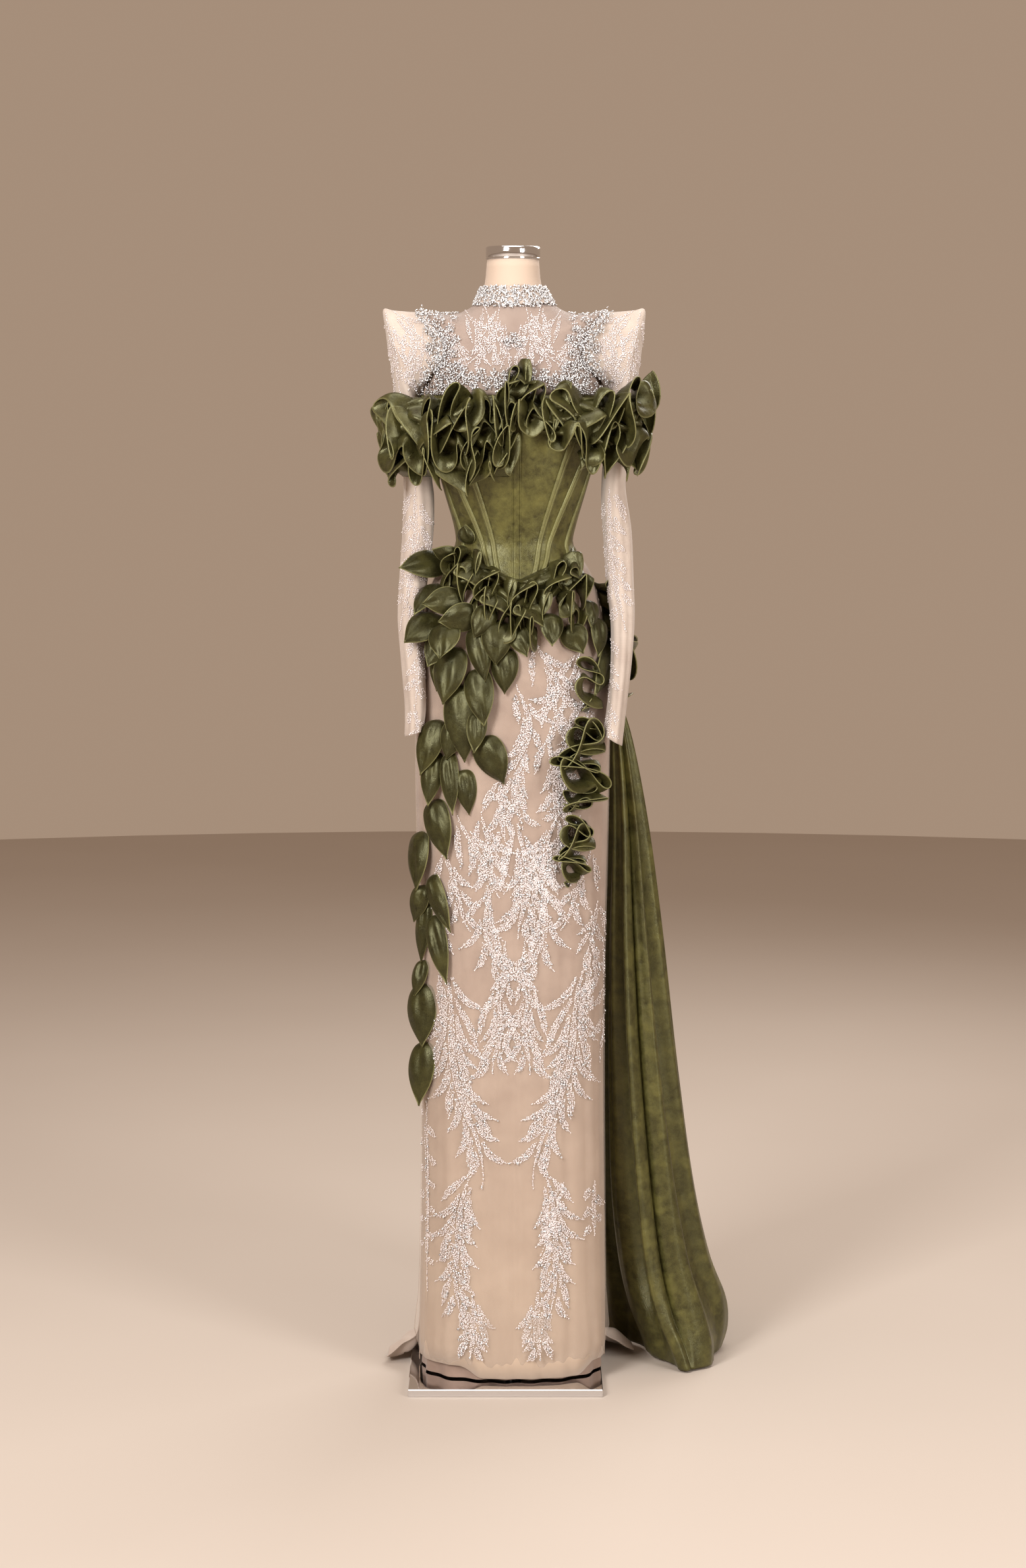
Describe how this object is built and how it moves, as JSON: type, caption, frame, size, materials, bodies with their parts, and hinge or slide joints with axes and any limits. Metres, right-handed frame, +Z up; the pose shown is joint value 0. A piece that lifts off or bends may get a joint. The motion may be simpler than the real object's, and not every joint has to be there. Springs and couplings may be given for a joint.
{
  "type": "column evening gown on a dress form",
  "caption": "Sleeved column evening gown with a boned velvet corset, ruffles, velvet leaves and side train, on a limbless dress form with a square base.",
  "frame": {"origin": "on the underside of the base plate, straight below the middle of the neck", "axes": "+Z up from the base to the neck cap; +X towards the wearer's left side and the velvet train; the front of the gown faces -Y"},
  "size_m": [0.5629, 0.5938, 1.79],
  "materials": {
    "plate_steel": "mirror-polished steel",
    "pole_steel": "brushed steel tube",
    "cap_chrome": "polished metal",
    "form_cover": "smooth pale cover",
    "beaded_net": "nude net sewn with small silver beads",
    "collar_beads": "net covered with silver crystals and beads",
    "plain_net": "soft nude net, matt",
    "velvet_corset": "moss green velvet with stitched boning channels",
    "velvet_ruffle": "moss green velvet, gathered",
    "velvet_leaf": "moss green velvet, padded, with a stitched edge",
    "velvet_train": "moss green velvet, hanging"
  },
  "bodies": {
    "root": {"base_plate": "plate_steel", "pole": "pole_steel", "neck_cap": "cap_chrome", "form_torso": "form_cover", "yoke_front": "beaded_net", "yoke_back": "beaded_net", "collar": "collar_beads", "sleeve_right": "beaded_net", "sleeve_left": "beaded_net", "corset_front_right": "velvet_corset", "corset_front_left": "velvet_corset", "corset_busk": "velvet_corset", "corset_back": "velvet_corset", "skirt_front": "beaded_net", "skirt_back": "plain_net", "bust_band_right": "velvet_ruffle", "bust_band_left": "velvet_ruffle", "bust_ruffle_right": "velvet_ruffle", "bust_ruffle_left": "velvet_ruffle", "bust_ruffle_centre": "velvet_ruffle", "hip_ruffle_right": "velvet_ruffle", "hip_ruffle_middle": "velvet_ruffle", "hip_ruffle_centre": "velvet_ruffle", "hip_ruffle_left": "velvet_ruffle", "garland_upper": "velvet_ruffle", "garland_bunch": "velvet_ruffle", "garland_tail": "velvet_ruffle", "garland_back": "velvet_ruffle", "leaf_01": "velvet_leaf", "leaf_02": "velvet_leaf", "leaf_03": "velvet_leaf", "leaf_04": "velvet_leaf", "leaf_05": "velvet_leaf", "leaf_06": "velvet_leaf", "leaf_07": "velvet_leaf", "leaf_08": "velvet_leaf", "leaf_09": "velvet_leaf", "leaf_10": "velvet_leaf", "leaf_11": "velvet_leaf", "leaf_12": "velvet_leaf", "leaf_13": "velvet_leaf", "leaf_14": "velvet_leaf", "leaf_15": "velvet_leaf", "leaf_16": "velvet_leaf", "leaf_17": "velvet_leaf", "leaf_18": "velvet_leaf", "leaf_19": "velvet_leaf", "leaf_20": "velvet_leaf", "leaf_21": "velvet_leaf", "leaf_22": "velvet_leaf", "leaf_23": "velvet_leaf", "leaf_24": "velvet_leaf", "leaf_25": "velvet_leaf", "leaf_26": "velvet_leaf", "leaf_27": "velvet_leaf", "leaf_28": "velvet_leaf", "leaf_29": "velvet_leaf", "leaf_30": "velvet_leaf", "velvet_train": "velvet_train", "net_train": "plain_net"}
  },
  "joints": []
}
